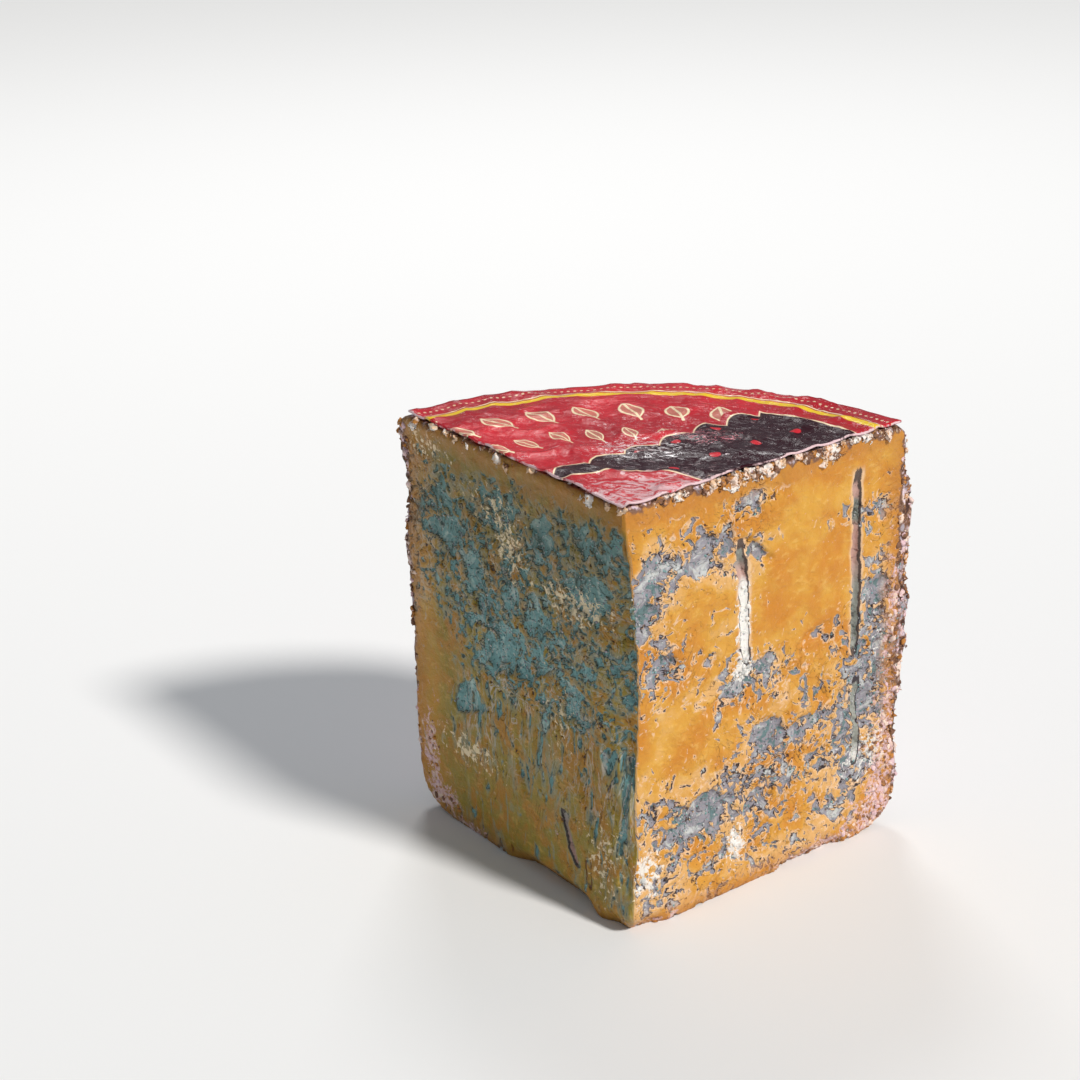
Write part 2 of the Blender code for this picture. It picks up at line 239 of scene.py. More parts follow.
# Dark outlines of pockets, cracks and needle holes: partly mould, partly painted shade in their edges
MOULD_OUTLINE_AND_SHADE = paint(58, 48, 52)
MOULD_LILAC = paint(148, 144, 152)
MOULD_TEAL = paint(92, 122, 122)
MOULD_PALE = paint(196, 198, 196)
MOULD_SEA = paint(122, 164, 164)
MOULD_MIST = paint(176, 202, 196)
MOULD_THREAD = paint(206, 198, 188)
MOULD_DEEP = paint(74, 100, 98)
WHITE_MOULD = paint(236, 232, 226)
WHITE_CREAM = paint(242, 222, 184)
CRUST_GOLD = paint(188, 124, 50)
CRUST_BROWN = paint(124, 86, 64)
CRUST_DARK = paint(74, 50, 44)
BLOOM = paint(228, 206, 216)
BLOOM_PINK = paint(238, 214, 198)
BLOOM_MAUVE = paint(222, 188, 194)
BLOOM_GREY = paint(168, 158, 166)
FILM_RED = paint(208, 34, 48)
FILM_RED_DEEP = paint(172, 22, 36)
FILM_DARK = paint(46, 4, 18)
FILM_YELLOW = paint(240, 200, 44)
FILM_CREAM = paint(246, 226, 188)
# Pale marks on the film: scuffs that are partly real wear and partly painted sheen, and a painted pink sheen
# and a painted white glint on its crinkles
FILM_SCUFF_AND_SHEEN = paint(228, 196, 200)
FILM_GLINT_WHITE = paint(250, 246, 248)
FILM_SHEEN_PINK = paint(200, 110, 122)

# The film's dark band: its width along the right cut, how near and far from the centre it goes, the
# scallops of its edge, and the grid of its dots
BAND_WIDTH = 0.03
BAND_NEAR = 0.028
BAND_FAR = 0.084
SCALLOP = 0.0125
SCALLOP_DEPTH = 0.0042
DOT_ROW = 0.0075
DOT_COLUMN = 0.0085
# The leaves round the centre: how many, and each row's distance, half its length and half its width
LEAVES = 36
LEAF_RADIUS = 0.07
LEAF_TILT = 0.45
LEAF_ROWS = ((0.077, 0.0066, 0.0036), (0.058, 0.0056, 0.003))
# Rings near the rim: radius, half the width, softness and colour, and the beads outside them
FILM_RINGS = ((0.0925, 0.0011, 0.0002, FILM_YELLOW), (0.0945, 0.0003, 0.0001, FILM_CREAM))
BEAD_RADIUS = 0.0985
BEAD_GAP = 0.001
# Where the film is crinkled and worn, with painted sheen and glints of light on its crinkles: right of the
# tip, behind it, reach, how much more, and its colour
FILM_WEAR_AND_GLINTS = (
    (0.016, 0.056, 0.01, 0.12, FILM_SHEEN_PINK),
    (-0.002, 0.062, 0.014, 0.06, FILM_SCUFF_AND_SHEEN),
    (0.0, 0.045, 0.015, 0.13, FILM_GLINT_WHITE),
)


class Value:
    """A number, place or mesh that a node puts out. Sums of numbers are written as sums."""

    def __init__(self, nodes, socket):
        self.nodes = nodes
        self.socket = socket

    def __add__(self, other):
        return self.nodes.math("ADD", self, other)

    def __sub__(self, other):
        return self.nodes.math("SUBTRACT", self, other)

    def __rsub__(self, other):
        return self.nodes.math("SUBTRACT", other, self)

    def __mul__(self, other):
        return self.nodes.math("MULTIPLY", self, other)

    def __truediv__(self, other):
        return self.nodes.math("DIVIDE", self, other)

    def __rtruediv__(self, other):
        return self.nodes.math("DIVIDE", other, self)

    def __pow__(self, other):
        return self.nodes.math("POWER", self, other)

    def __abs__(self):
        return self.nodes.math("ABSOLUTE", self)


class Nodes:
    """Adds nodes to one tree, with each input given as a plain value or as what feeds it."""

    def __init__(self, tree):
        self.tree = tree

    def put(self, socket, value):
        if isinstance(value, Value):
            self.tree.links.new(value.socket, socket)
        else:
            socket.default_value = value

    def feed(self, node, inputs):
        """Gives a node its inputs, in order or by their names or numbers."""
        for key, value in inputs.items() if isinstance(inputs, dict) else enumerate(inputs):
            self.put(node.inputs[key], value)

    def add(self, kind, **settings):
        node = self.tree.nodes.new(kind)
        for name, value in settings.items():
            setattr(node, name, value)
        return node

    def value(self, kind, inputs=(), output=0, **settings):
        """What a new node puts out."""
        node = self.add(kind, **settings)
        self.feed(node, inputs)
        return Value(self, node.outputs[output])

    def math(self, operation, *values):
        return self.value("ShaderNodeMath", values, operation=operation)

    def vector(self, operation, *values):
        return self.value("ShaderNodeVectorMath", values, operation=operation)

    def scaled(self, vector, amount):
        return self.value("ShaderNodeVectorMath", {0: vector, "Scale": amount}, operation="SCALE")

    def parts(self, vector):
        node = self.add("ShaderNodeSeparateXYZ")
        self.feed(node, [vector])
        return [Value(self, socket) for socket in node.outputs]

    def join(self, x, y, z):
        return self.value("ShaderNodeCombineXYZ", (x, y, z))

    def group(self, tree, *values):
        kind = "GeometryNodeGroup" if tree.bl_idname == "GeometryNodeTree" else "ShaderNodeGroup"
        node = self.add(kind, node_tree=tree)
        self.feed(node, values)
        return {socket.name: Value(self, socket) for socket in node.outputs}


def most(first, second):
    return first.nodes.math("MAXIMUM", first, second)


def least(first, second):
    return first.nodes.math("MINIMUM", first, second)


def from_origin(x, y):
    """How far a place is from the origin, seen from above."""
    nodes = x.nodes
    return nodes.value("ShaderNodeVectorMath", [nodes.join(x, y, 0.0)], "Value", operation="LENGTH")


def ramp(value, low, high, start=0.0, end=1.0):
    """An S curve from start to end as the value goes from low to high."""
    return value.nodes.value("ShaderNodeMapRange", (value, low, high, start, end),
                             interpolation_type="SMOOTHSTEP")


def band(value, middle, half, soft):
    """1 where the value is within half of the middle, with edges as soft as given."""
    return ramp(abs(value - middle), half - soft, half + soft, 1.0, 0.0)


def blend(share, first, second):
    """A number between two others."""
    return share.nodes.value("ShaderNodeMix", {0: share, 2: first, 3: second}, data_type="FLOAT")


def mix(share, first, second):
    """A colour between two others."""
    return share.nodes.value("ShaderNodeMix", {0: share, 6: first, 7: second}, 2, data_type="RGBA")


def texture(place, size, detail=2.0, roughness=0.5, distortion=0.0):
    """Cloudy noise, 0 to 1."""
    return place.nodes.value("ShaderNodeTexNoise", {
        "Vector": place, "Scale": 1 / size, "Detail": detail, "Roughness": roughness,
        "Distortion": distortion})


def cells(place, size):
    """How far each point is from the middle of its cell, in cell sizes."""
    return place.nodes.value("ShaderNodeTexVoronoi", {"Vector": place, "Scale": 1 / size}, "Distance")


def new_group(name, kind, inputs, outputs):
    """An empty node group with sockets of the kinds given, as (tree, nodes, its inputs, its results)."""
    tree = bpy.data.node_groups.new(name, kind)
    for way, sockets in (("INPUT", inputs), ("OUTPUT", outputs)):
        for socket, socket_kind in sockets.items():
            tree.interface.new_socket(socket, in_out=way, socket_type="NodeSocket" + socket_kind)
    nodes = Nodes(tree)
    given = {socket.name: Value(nodes, socket) for socket in nodes.add("NodeGroupInput").outputs}
    return tree, nodes, given, nodes.add("NodeGroupOutput").inputs


# Shape of the wedge

def smooth_step(low, high, value):
    """0 below low, 1 above high, and an S curve between them."""
    share = np.clip((value - low) / (high - low), 0.0, 1.0)
    return share * share * (3 - 2 * share)


def cut_direction(side):
    """Along the left (-1) or right (+1) cut, away from the tip."""
    return np.array((side * math.sin(HALF_TURN), math.cos(HALF_TURN), 0))


def cut_normal(side):
    """Out of the left or right cut."""
    return np.array((side * math.cos(HALF_TURN), -math.sin(HALF_TURN), 0))


def noise_at(points, size, shift=(0, 0, 0)):
    """Smooth noise, -1 to 1, at each point."""
    return np.array([noise.noise(Vector(point)) for point in points / size + np.array(shift)])


def crumb_at(points):
    """The crumbly roughness at each point."""
    return np.array([noise.fractal(Vector(point), 0.9, 2.1, 3) for point in points / CRUMB_SIZE])


def knob_at(points):
    """How far each point is from the middle of its knob, in knob sizes."""
    return np.array([noise.voronoi(Vector(point))[0][0] for point in points / RIND_KNOB_SIZE])


def on_side(rows, side):
    """The rows of a table that lie on one cut, without their side."""
    return [row[1:] for row in rows if row[0] == side]


def hole_share(side, along, height, ragged):
    """Where the needle holes are on a cut, how deep, and where their pale lips are."""
    share = depth = lip = np.zeros(len(along))
    for start, top, bottom, lean, half_width, hole_depth in on_side(NEEDLE_HOLES, side):
        down = (top - height) / (top - bottom)
        middle = start + lean * down + 0.45 * ragged
        taper = smooth_step(0.0, 0.25, down) * smooth_step(1.0, 0.85, down)
        across = np.abs(along - middle) / half_width
        inside = taper * smooth_step(1.5, 0.6, across)
        share = np.maximum(share, inside)
        depth = np.maximum(depth, hole_depth * inside)
        lip = np.maximum(lip, smooth_step(0.0, 0.15, taper) * smooth_step(2.4, 1.5, across))
    return share, depth, lip


def hollow_share(side, along, height, ragged):
    """Where the mould's hollows are on a cut, and how deep."""
    share = depth = np.zeros(len(along))
    for middle, level, half_length, half_height, hollow, lean in on_side(MOULD_HOLLOWS, side):
        turn = 2 * math.pi * lean
        right = along - middle
        up = height - level
        long_way = (math.cos(turn) * right - math.sin(turn) * up) / half_length
        short_way = (math.sin(turn) * right + math.cos(turn) * up) / half_height
        reach = np.hypot(long_way, short_way) + ragged / 0.004
        inside = smooth_step(1.25, 0.75, reach)
        share = np.maximum(share, inside)
        depth = np.maximum(depth, hollow * inside)
    return share, depth


def crumbled(side, along, height):
    """How far a crumbled lower edge has lost its paste."""
    lost = np.zeros(len(along))
    for middle, half_length, tall, deep in on_side(CRUMBLED_EDGES, side):
        length_share = smooth_step(1.0, 0.5, np.abs(along - middle) / half_length)
        lost = np.maximum(lost, deep * length_share * smooth_step(tall, 0.0, height))
    return lost


def tip_wear(height):
    """How wide the worn edge at the tip is at each height."""
    return np.interp(height, *zip(*TIP_WEAR))


def worn_tip(from_tip, height):
    """How the worn edge at the tip moves the points beside it."""
    width = np.maximum(tip_wear(height), 1e-6)
    right, left = cut_direction(1), cut_direction(-1)
    share = 1 - (from_tip @ right) / width - (from_tip @ left) / (WEAR_SLANT * width)
    inward = (WEAR_SLANT * right + left) / math.hypot(1, WEAR_SLANT)
    return np.outer(np.maximum(0.0, share) * width * WEAR_SLANT / math.hypot(1, WEAR_SLANT), inward)


def rim_lump(angle, height):
    """How far the crust stands out at an angle from the middle of the rind."""
    out = np.zeros(len(angle))
    for side, level, half_height, reach, amount in RIM_LUMPS:
        from_cut = (HALF_TURN - side * angle) * WHEEL_RADIUS
        along_share = smooth_step(reach, 0.3 * reach, from_cut)
        out += amount * along_share * smooth_step(1.0, 0.55, np.abs(height - level) / half_height)
    return out


def at_places(places, side, along, height):
    """What the places that lie on a cut add up to at each point of it."""
    total = np.zeros(len(along))
    for middle, level, half_length, half_height, amount in on_side(places, side):
        away = ((along - middle) / half_length) ** 2 + ((height - level) / half_height) ** 2
        total += amount * np.exp(-0.7 * away)
    return total


def mould_growth(side, along, height):
    """How thickly the mould grows at each place on a cut, 0 to 1."""
    low, high = MOULD_LEVELS[side]
    level = low + (high - low) * height / WHEEL_HEIGHT
    return np.clip(level + at_places(MOULD_PLACES, side, along, height), 0.0, 1.0)


def shape_wedge(points, normals):
    """Moves the plain block's points onto the real cheese, and gives what grows at each of them."""
    height = points[:, 2]
    base = smooth_step(-0.75, -0.97, normals[:, 2])
    top = smooth_step(0.75, 0.97, normals[:, 2])
    upright = np.clip(1.0 - base - top, 0.0, 1.0)
    from_tip = points - np.array(TIP)
    crumb = crumb_at(points)
    moved = points.copy()
    marks = {}
    for side in (-1, 1):
        facing = smooth_step(0.25, 0.85, normals @ cut_normal(side)) * upright
        along = from_tip @ cut_direction(side)
        along_points = np.stack([along, height, np.full(len(along), side)], axis=1)
        ragged = 0.0016 * noise_at(along_points, 0.004)
        hole, hole_depth, lip = hole_share(side, along, height, ragged)
        hollow, hollow_depth = hollow_share(side, along, height, ragged)
        wave = CUT_WAVE * noise_at(points, CUT_WAVE_SIZE, (side, 3.1, 0.7))
        surface = wave + CRUMB_SHARE * CRUMB_DEPTH * crumb
        white = np.clip(at_places(WHITE_PLACES, side, along, height), 0.0, 1.0)
        hole_depth *= 1 - PLUG_SHARE * smooth_step(0.3, 0.65, white)
        surface -= np.maximum(HOLE_SHARE * hole_depth, HOLLOW_SHARE * hollow_depth)
        chips = np.maximum(0.0, noise_at(along_points * (0, 1, 0), CHIP_SIZE, (1.3, 0.2, 4.1)))
        surface -= CHIP_DEPTH * chips * smooth_step(CHIP_REACH, 0.0, along)
        near = smooth_step(CRUMBLE_REACH, 0.0, -(from_tip @ cut_normal(side)))
        moved += np.outer(surface * facing - near * crumbled(side, along, height), cut_normal(side))
        on_cut = smooth_step(0.15, 0.45, normals @ cut_normal(side))
        growth = mould_growth(side, along, height)
        wrap = 1.0
        # The worn strip at the tip takes the left cut's growth and look, its painted shade included
        if side == 1:
            wrap = smooth_step(0.0008, -0.0004, along - tip_wear(height) - 0.3 * ragged)
            growth += wrap * (mould_growth(-1, 0 * along, height) - growth)
        clusters = smooth_step(-0.3, 0.3, noise_at(along_points, CLUSTER_SIZE, (7.7, 2.4, 0.3)))
        deepest = TOP_CRUST * (1.0 + clusters) * (1.2 if side == 1 else 0.6)
        top_edge = smooth_step(deepest, 0.0006, WHEEL_HEIGHT - height) * (0.35 + 0.65 * clusters)
        found = {
            "left": wrap, "growth": growth, "needle": hole, "lip": lip, "pocket": hollow, "white": white,
            "bloomed": np.clip(at_places(BLOOM_PLACES, side, along, height), 0.0, 1.0), "paste": 1.0,
            "top_edge": (1.0 if side == 1 else 0.45) * top_edge,
            "rim_edge": smooth_step(WHEEL_RADIUS - RIM_CRUST, WHEEL_RADIUS - 0.001, along),
        }
        for name, value in found.items():
            marks[name] = np.maximum(marks.get(name, 0.0), on_cut * value)
    moved += worn_tip(from_tip, height)
    flat = np.stack([from_tip[:, 0], from_tip[:, 1]], axis=1)
    reach = np.linalg.norm(flat, axis=1)
    outward = np.zeros_like(points)
    outward[:, :2] = flat / np.maximum(reach, 1e-6)[:, None]
    facing = smooth_step(0.1, 0.6, np.sum(normals * outward, axis=1)) * (reach > 0.5 * WHEEL_RADIUS)
    wave = RIND_WAVE * noise_at(points, RIND_WAVE_SIZE, (5.2, 1.7, 0.2))
    knob = RIND_KNOB * (0.45 - knob_at(points))
    lump = rim_lump(np.arctan2(flat[:, 0], flat[:, 1]), height)
    crust = (wave + knob + 0.5 * CRUMB_DEPTH * crumb + lump) * facing * (1 - 0.7 * base)
    moved += outward * crust[:, None]
    moved[moved[:, 2] < BASE_FLAT, 2] = 0.0
    return moved, marks


def block_profile():
    """The turned outline, from the axis out along the base, up the rim and back along the top."""
    points = [Vector((0, 0, 0))]
    corners = ((LOWER_RIM_ROUND, LOWER_RIM_ROUND, -90, 8),
               (UPPER_RIM_ROUND, WHEEL_HEIGHT - UPPER_RIM_ROUND, 0, 4))
    for round_radius, level, start, steps in corners:
        for step in range(steps + 1):
            turn = math.radians(start + 90 * step / steps)
            points.append(Vector((WHEEL_RADIUS - round_radius + round_radius * math.cos(turn), 0,
                                  level + round_radius * math.sin(turn))))
    points.append(Vector((0, 0, WHEEL_HEIGHT)))
    return points


def as_mesh(shape, name):
    """The shape as a mesh."""
    mesh = bpy.data.meshes.new(name)
    shape.to_mesh(mesh)
    shape.free()
    return mesh


def plain_block():
    """The quarter wheel as a knife would leave it: a face spun about the wheel's axis."""
    shape = bmesh.new()
    profile = shape.faces.new([shape.verts.new(point) for point in block_profile()])
    start = math.pi / 2 - HALF_TURN
    bmesh.ops.rotate(shape, verts=shape.verts, cent=(0, 0, 0), matrix=Matrix.Rotation(start, 3, "Z"))
    bmesh.ops.spin(shape, geom=[profile, *profile.edges, *profile.verts], cent=(0, 0, 0),
                   axis=(0, 0, 1), angle=WEDGE_TURN, steps=ARC_STEPS, use_duplicate=False)
    bmesh.ops.remove_doubles(shape, verts=shape.verts, dist=1e-6)
    bmesh.ops.translate(shape, verts=shape.verts, vec=TIP)
    bmesh.ops.recalc_face_normals(shape, faces=shape.faces)
    return as_mesh(shape, "plain_block")


# Making pieces

def show(name, mesh):
    """An object at the origin that holds the mesh."""
    piece = bpy.data.objects.new(name, mesh)
    bpy.context.scene.collection.objects.link(piece)
    return piece


def apply_modifiers(piece):
    """Turns the piece into the plain mesh that its modifiers make."""
    graph = bpy.context.evaluated_depsgraph_get()
    mesh = bpy.data.meshes.new_from_object(piece.evaluated_get(graph))
    piece.modifiers.clear()
    piece.data = mesh
    mesh.name = piece.name


def add_tree(piece, tree, **sizes):
    """Puts a geometry node tree on the piece, with its named inputs set."""
    modifier = piece.modifiers.new(tree.name, "NODES")
    modifier.node_group = tree
    sockets = {item.name: item.identifier for item in tree.interface.items_tree
               if item.item_type == "SOCKET" and item.in_out == "INPUT"}
    for name, value in sizes.items():
        modifier[sockets[name.replace("_", " ").title()]] = value


def store(mesh, name, values):
    """Keeps one number for each point of the mesh, for its material and its node trees."""
    layer = mesh.attributes.new(name, "FLOAT", "POINT")
    layer.data.foreach_set("value", values.astype(np.float32))


def numbers(mesh, kind):
    """The points' places ("co") or directions ("normal") as an array."""
    found = np.empty(len(mesh.vertices) * 3, np.float32)
    mesh.vertices.foreach_get(kind, found)
    return found.reshape(-1, 3).astype(np.float64)


def finer_cuts(mesh):
    """Halves the faces of the two cuts, which carry the finest relief."""
    shape = bmesh.new()
    shape.from_mesh(mesh)
    normals = [Vector(cut_normal(side)) for side in (-1, 1)]
    edges = {edge for face in shape.faces if max(face.normal.dot(n) for n in normals) > 0.6
             for edge in face.edges}
    bmesh.ops.subdivide_edges(shape, edges=list(edges), cuts=1, use_grid_fill=True)
    shape.to_mesh(mesh)
    shape.free()


def wedge_skin():
    """The block under an even skin, shaped like the cheese, with what grows on it stored."""
    piece = show("cheese_wedge", plain_block())
    skin = piece.modifiers.new("even_skin", "REMESH")
    skin.mode = "VOXEL"
    skin.voxel_size = VOXEL
    apply_modifiers(piece)
    mesh = piece.data
    finer_cuts(mesh)
    moved, marks = shape_wedge(numbers(mesh, "co"), numbers(mesh, "normal"))
    mesh.vertices.foreach_set("co", moved.astype(np.float32).ravel())
    for name, values in marks.items():
        store(mesh, name, values)
    mesh.update()
    mesh.shade_smooth()
    return piece


# The mould, grown the same way for relief and for colour

def grow_mould(kind):
    """Masks of the mould, from a place, how thickly it grows and where it runs in streaks."""
    masks = ("Patch", "Deep", "Outline", "Halo", "Pits", "Cracks", "Wisps", "Tone", "Soft", "Fuzz")
    tree, nodes, given, result = new_group(
        "blue_mould", kind,
        {"Place": "Vector", "Density": "Float", "Pocket": "Float", "Streaks": "Float"},
        {name: "Float" for name in masks})
    density = given["Density"]
    x, y, z = nodes.parts(given["Place"])
    streaked = most(z * STREAK, z - STREAK_TOP * (1 - STREAK))
    drawn = nodes.join(x, y, blend(given["Streaks"], z, streaked))

    gain = (density - 0.5) * GROWTH_GAIN
    patches = texture(drawn, PATCH_SIZE, 2.0, 0.5, 0.8)
    spots = texture(drawn, SPOT_SIZE, 3.0, 0.55, 0.6)
    level = patches * 0.6 + spots * 0.55 + gain + (given["Pocket"] * POCKET_GAIN - 0.075)
    islands = ramp(texture(drawn, ISLAND_SIZE, 2.0, 0.5, 1.2), 0.5, 0.6, 0.0, 0.085)
    level = level - islands * (1.0 - given["Streaks"])
    small = texture(drawn, SMALL_SIZE, 2.0, 0.5, 1.6) + gain
    level = most(level, small - 0.035)
    for name, (low, high) in MOULD_STEPS.items():
        nodes.put(result[name], ramp(level, low, high))
    # The pockets' rims, where the colours put a dark outline that is partly painted shade
    outline = ramp(level, 0.574, 0.592) * ramp(level, 0.602, 0.624, 1.0, 0.0)
    broken = ramp(texture(drawn, BREAK_SIZE, 1.0), 0.4, 0.5, 0.45, 1.0)
    nodes.put(result["Outline"], outline * broken)

    pits = texture(drawn, PIT_SIZE, 3.0, 0.55, 1.0) + (density - 0.5) * PIT_GAIN
    nodes.put(result["Pits"], ramp(pits, 0.668, 0.695))
    from_crack = abs(texture(drawn, CRACK_SIZE, 3.0, 0.6, 1.4) - 0.5)
    from_crack = from_crack - (density - 0.45) * CRACK_GAIN
    nodes.put(result["Cracks"], ramp(from_crack, -0.004, 0.006, 1.0, 0.0))
    from_wisp = abs(texture(drawn, WISP_SIZE, 4.0, 0.6, 1.8) - 0.5)
    wisps = ramp(from_wisp, 0.004, 0.02, 1.0, 0.0)
    nodes.put(result["Wisps"], wisps * ramp(density, 0.4, 0.65))
    nodes.put(result["Tone"], texture(drawn, TONE_SIZE, 4.0, 0.65, 0.6))
    return tree


def keep(nodes, geometry, name, value, data_type="FLOAT", domain="POINT"):
    """Stores a value by name on the geometry."""
    return nodes.value("GeometryNodeStoreNamedAttribute",
                       {"Geometry": geometry, "Name": name, "Value": value},
                       data_type=data_type, domain=domain)


def read(nodes, name):
    """A number that was stored by name on the geometry."""
    return nodes.value("GeometryNodeInputNamedAttribute", {"Name": name}, "Attribute")


def move(nodes, geometry, offset):
    return nodes.value("GeometryNodeSetPosition", {"Geometry": geometry, "Offset": offset})


def chance(nodes, seed):
    """A number from 0 to 1, drawn for each point."""
    return nodes.value("FunctionNodeRandomValue", {2: 0.0, 3: 1.0, "Seed": seed}, 1, data_type="FLOAT")


def end_tree(nodes, geometry, material, result):
    """Ends a geometry tree with real meshes and their material."""
    real = nodes.value("GeometryNodeRealizeInstances", [geometry])
    finished = nodes.value("GeometryNodeSetMaterial", {"Geometry": real, "Material": material})
    nodes.put(result["Geometry"], finished)


def relief_tree(mould):
    """Sinks the mould's patches, pits and cracks into the cuts and roughens the paste and the crust."""
    tree, nodes, given, result = new_group(
        "fine_relief", "GeometryNodeTree",
        {"Geometry": "Geometry", "Patch Depth": "Float", "Pit Depth": "Float", "Crack Depth": "Float",
         "Grain Height": "Float", "Crust Height": "Float", "Finish": "Material"},
        {"Geometry": "Geometry"})
    growth, pocket, left, paste = [read(nodes, name) for name in ("growth", "pocket", "left", "paste")]
    place = nodes.value("GeometryNodeInputPosition")
    normal = nodes.value("GeometryNodeInputNormal")
    geometry = keep(nodes, given["Geometry"], "rest", place, "FLOAT_VECTOR")
    grown = nodes.group(mould, place, growth, pocket, left)
    patch = grown["Patch"] * given["Patch Depth"] * ramp(grown["Tone"], 0.35, 0.65, 0.55, 1.0)
    pits = grown["Pits"] * given["Pit Depth"]
    sunk = most(patch, pits) + grown["Cracks"] * given["Crack Depth"]
    grain = (texture(place, GRAIN_SIZE, 3.0, 0.6) - 0.5) * given["Grain Height"]
    cut = (grain - sunk) * paste
    knobs = 0.45 - cells(place, FINE_KNOB_SIZE)
    knobs = knobs * ramp(texture(place, 0.012), 0.4, 0.6, 0.4, 1.0)
    crust = knobs * given["Crust Height"] * (1.0 - paste)
    crust = crust * ramp(abs(nodes.parts(normal)[2]), 0.8, 0.95, 1.0, 0.0)
    geometry = move(nodes, geometry, nodes.scaled(normal, cut + crust))
    geometry = keep(nodes, geometry, "patch", grown["Patch"] * paste)
    end_tree(nodes, geometry, given["Finish"], result)
    return tree


def scatter_tree():
    """Strews small lumps over a piece where one of its stored numbers is high."""
    tree, nodes, given, result = new_group(
        "strewn_lumps", "GeometryNodeTree",
        {"Geometry": "Geometry", "Where": "String", "Least": "Float", "Per Area": "Float",
         "Smallest": "Float", "Largest": "Float", "Flatness": "Float", "Rough": "Float",
         "Seed": "Int", "Fineness": "Int", "Finish": "Material"},
        {"Geometry": "Geometry"})
    thick = most(read(nodes, given["Where"]) - given["Least"], 0.0) * given["Per Area"]
    points = nodes.add("GeometryNodeDistributePointsOnFaces")
    nodes.feed(points, {"Mesh": given["Geometry"], "Density": thick, "Seed": given["Seed"]})
    lump = nodes.value("GeometryNodeMeshIcoSphere", {"Radius": 1.0, "Subdivisions": given["Fineness"]})
    size = blend(chance(nodes, given["Seed"]) ** 2.0, given["Smallest"], given["Largest"])
    squat = nodes.value("FunctionNodeRandomValue", ((0.7, 0.7, 0.5), (1.3, 1.3, 1.0)),
                        data_type="FLOAT_VECTOR")
    shape = nodes.vector("MULTIPLY", squat, nodes.join(1.0, 1.0, given["Flatness"]))
    lumps = nodes.value("GeometryNodeInstanceOnPoints",
                        {"Points": Value(nodes, points.outputs["Points"]), "Instance": lump,
                         "Rotation": Value(nodes, points.outputs["Rotation"]),
                         "Scale": nodes.scaled(shape, size)})
    lumps = keep(nodes, lumps, "tint", chance(nodes, TINT_SEED), domain="INSTANCE")
    lumps = nodes.value("GeometryNodeRealizeInstances", [lumps])
    bumps = nodes.value("ShaderNodeTexNoise",
                        {"Vector": nodes.value("GeometryNodeInputPosition"),
                         "Scale": 0.9 / given["Largest"], "Detail": 3.0, "Roughness": 0.7}, 1)
    push = nodes.vector("SUBTRACT", bumps, (0.5, 0.5, 0.5))
    lumps = move(nodes, lumps, nodes.scaled(push, given["Largest"] * given["Rough"]))
    end_tree(nodes, lumps, given["Finish"], result)
    return tree


# Finishes

def new_material(name):
    """A material, as (material, its nodes, its shader)."""
    material = bpy.data.materials.new(name)
    material.use_nodes = True
    return material, Nodes(material.node_tree), material.node_tree.nodes["Principled BSDF"]


def stored(nodes, name, output="Fac"):
    """A number or a place that was stored by name on the piece."""
    return nodes.value("ShaderNodeAttribute", output=output, attribute_name=name)


def object_place(nodes):
    return nodes.value("ShaderNodeTexCoord", output="Object")


def bumpy(nodes, height):
    """Where a fine relief of this height makes the surface face."""
    return nodes.value("ShaderNodeBump", {"Distance": 0.0005, "Strength": 0.8, "Height": height})


def paste_colours():
    """The marbled yellow paste, from a place, how far it takes the left cut's olive colour, which holds
    painted shade, how mouldy it is and the halo round the mould.
    """
    tree, nodes, given, result = new_group(
        "yellow_paste", "ShaderNodeTree",
        {"Place": "Vector", "Olive And Shade": "Float", "Mouldy": "Float", "Halo": "Float"},
        {"Color": "Color", "Grain": "Float"})
    place = given["Place"]
    clouds = ramp(texture(place, 0.016, 3.0, 0.6), 0.35, 0.65)
    ground = mix(clouds, PASTE_DEEP, PASTE)
    shade = ramp(texture(place, 0.008, 4.0, 0.65, 0.6), 0.38, 0.62)
    pink = given["Mouldy"] + (clouds - 0.5)
    ground = mix(ramp(pink, 0.6, 1.0, 0.0, 0.45), ground, PASTE_PINK)
    # Olive on the left cut, in colours that hold painted shade
    ground = mix(given["Olive And Shade"], ground, mix(shade, OLIVE_GOLD_SHADED, OLIVE_GREEN_SHADED))
    flakes = texture(nodes.vector("MULTIPLY", place, (1.0, 1.0, 1.5)), 0.0034, 4.0, 0.65, 0.4)
    ground = mix(ramp(flakes, 0.52, 0.74, 0.0, 0.38), ground, PASTE_PALE)
    grain = texture(place, 0.0011, 3.0, 0.6)
    ground = mix(ramp(grain, 0.45, 0.3, 0.0, 0.25), ground, PASTE_DEEP)
    # The halo there is olive-grey, darkened with painted shade too
    rim = mix(given["Olive And Shade"], CREAM, OLIVE_MIST_SHADED)
    nodes.put(result["Color"], mix(given["Halo"] * 0.85, ground, rim))
    nodes.put(result["Grain"], flakes + grain * 0.6)
    return tree


